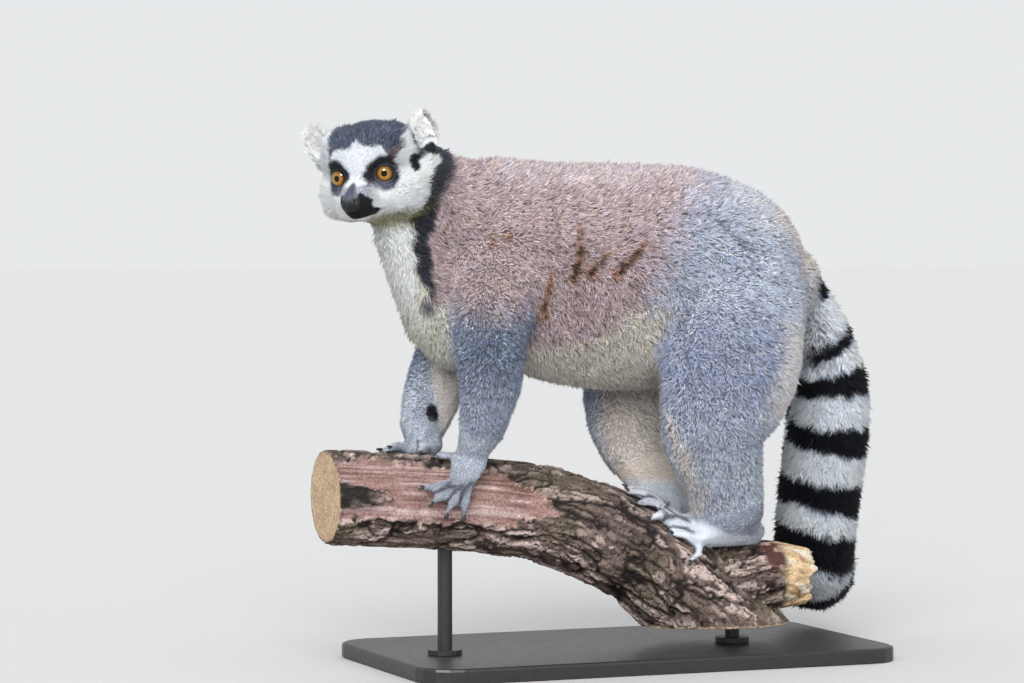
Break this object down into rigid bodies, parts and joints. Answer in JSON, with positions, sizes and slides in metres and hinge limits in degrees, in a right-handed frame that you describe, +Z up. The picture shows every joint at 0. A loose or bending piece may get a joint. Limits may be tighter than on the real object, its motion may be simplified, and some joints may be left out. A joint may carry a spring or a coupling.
{
  "type": "ring-tailed lemur model",
  "caption": "Life-size still model of a ring-tailed lemur standing on all fours on a cut length of branch, head turned aside and tail hanging, on a plain display stand.",
  "frame": {"origin": "centre of the bounding box on the floor, at the underside of the stand's base", "axes": "+Z up; the animal faces -X, and its left side, the near one, is -Y"},
  "size_m": [0.5466, 0.2604, 0.4551],
  "materials": {
    "coat_head": "short fur",
    "coat_ear": "soft fur",
    "coat_neck": "dense fur",
    "coat_back": "dense fur",
    "coat_limb": "dense fur",
    "coat_tail": "long fur",
    "eye_amber": "wet gloss",
    "bark": "rough bark",
    "stand_black": "satin black"
  },
  "bodies": {
    "root": {"ear_left": "coat_ear", "ear_right": "coat_ear", "eye_left": "eye_amber", "eye_right": "eye_amber", "foot_left": "coat_limb", "foot_right": "coat_limb", "forearm_left": "coat_limb", "forearm_right": "coat_limb", "hand_left": "coat_limb", "hand_right": "coat_limb", "head": "coat_head", "neck": "coat_neck", "perch": "bark", "shank_left": "coat_limb", "shank_right": "coat_limb", "stand_base": "stand_black", "stand_rod_1": "stand_black", "stand_rod_2": "stand_black", "tail_1": "coat_tail", "tail_2": "coat_tail", "tail_3": "coat_tail", "tail_4": "coat_tail", "tail_5": "coat_tail", "tail_6": "coat_tail", "thigh_left": "coat_limb", "thigh_right": "coat_limb", "trunk": "coat_back", "upper_arm_left": "coat_limb", "upper_arm_right": "coat_limb"}
  },
  "joints": []
}
